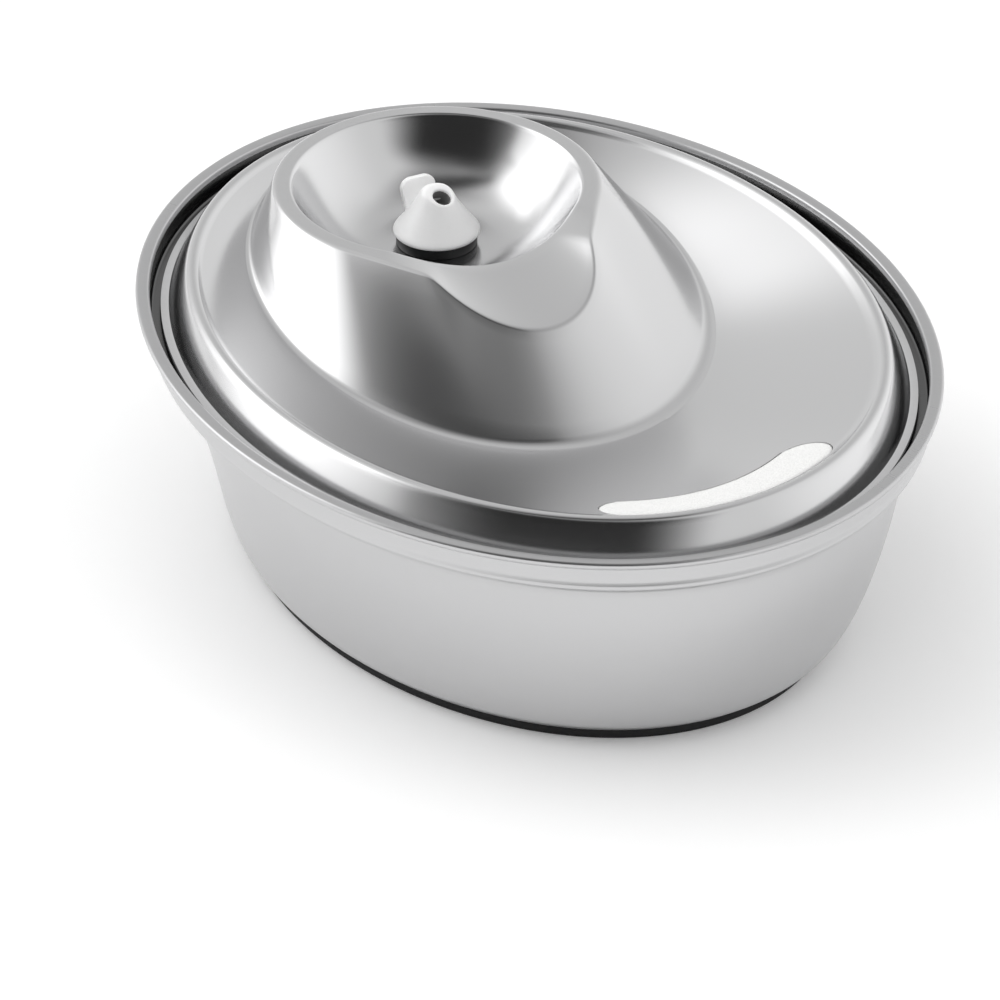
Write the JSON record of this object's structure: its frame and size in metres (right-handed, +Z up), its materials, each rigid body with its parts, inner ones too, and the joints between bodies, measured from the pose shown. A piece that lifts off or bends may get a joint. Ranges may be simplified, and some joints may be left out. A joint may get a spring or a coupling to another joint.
{
  "type": "pet water fountain",
  "caption": "Oval stainless steel pet water fountain: pressed bowl, lift-off drinking lid with a raised basin and spout, turning white nozzle, drain slot, filter cartridge and pump.",
  "frame": {"origin": "on the table under the middle of the bowl's rim", "axes": "+X along the bowl towards the drain slot, +Z up"},
  "size_m": [0.249, 0.195, 0.0791],
  "materials": {
    "bowl_steel": "brushed round the wall, satin",
    "lid_steel": "finely brushed to polished",
    "black_rubber": "matte",
    "grey_rubber": "matte silicone",
    "bush_rubber": "matte",
    "clear_rubber": "soft translucent rubber",
    "white_plastic": "satin white",
    "natural_plastic": "natural moulding",
    "dark_plastic": "fine moulded texture",
    "white_fleece": "needled fleece",
    "grey_foam": "open foam",
    "carbon": "granular",
    "core_iron": "laminated sheet",
    "copper": "enamelled wire",
    "board": "potted board",
    "ceramic": "polished ceramic",
    "ferrite": "ground ferrite",
    "screw_steel": "plain"
  },
  "bodies": {
    "bowl": {"outer_bowl": "bowl_steel", "foot_ring": "black_rubber", "motor_housing": "dark_plastic", "motor_back_cap": "dark_plastic", "stator_core": "core_iron", "coil_bobbin": "natural_plastic", "coil_winding": "copper", "driver_board": "board", "rear_bush": "bush_rubber", "front_bush": "bush_rubber", "rotor_shaft": "ceramic", "volute_housing": "dark_plastic", "volute_oring": "black_rubber", "volute_screws": "screw_steel", "suction_cups": "clear_rubber", "cord_gland": "black_rubber"},
    "lid": {"drinking_lid": "lid_steel", "lid_seal": "grey_rubber", "nozzle_grommet": "black_rubber"},
    "spigot": {"nozzle_spigot": "white_plastic", "spigot_oring": "black_rubber"},
    "spout_nozzle": {"nozzle": "white_plastic"},
    "filter": {"filter_tray": "white_plastic", "filter_fleece": "white_fleece", "carbon_bed": "carbon"},
    "rotor": {"impeller": "natural_plastic", "rotor_magnet": "ferrite"},
    "intake": {"intake_cover": "dark_plastic", "intake_foam": "grey_foam"},
    "dial": {"flow_dial": "white_plastic"}
  },
  "joints": [
    {"name": "lid_lift", "type": "slide", "parent": "bowl", "child": "lid", "axis": [0, 0, 1], "range_m": [0, 0.08]},
    {"name": "spigot_pull", "type": "slide", "parent": "lid", "child": "spigot", "axis": [0, 0, 1], "range_m": [0, 0.02]},
    {"name": "nozzle_turn", "type": "hinge", "parent": "spigot", "child": "spout_nozzle", "pos_m": [-0.0584, 0, 0.07], "axis": [0, 0, 1], "range_deg": [-45, 45]},
    {"name": "filter_drop", "type": "slide", "parent": "lid", "child": "filter", "axis": [0, 0, -1], "range_m": [0, 0.02]},
    {"name": "rotor_spin", "type": "hinge", "parent": "bowl", "child": "rotor", "pos_m": [-0.0584, 0, 0.0265], "axis": [1, 0, 0], "continuous": true},
    {"name": "intake_pull", "type": "slide", "parent": "bowl", "child": "intake", "axis": [1, 0, 0], "range_m": [0, 0.012]},
    {"name": "dial_turn", "type": "hinge", "parent": "intake", "child": "dial", "pos_m": [-0.038, 0, 0.0265], "axis": [1, 0, 0], "range_deg": [0, 90]}
  ]
}
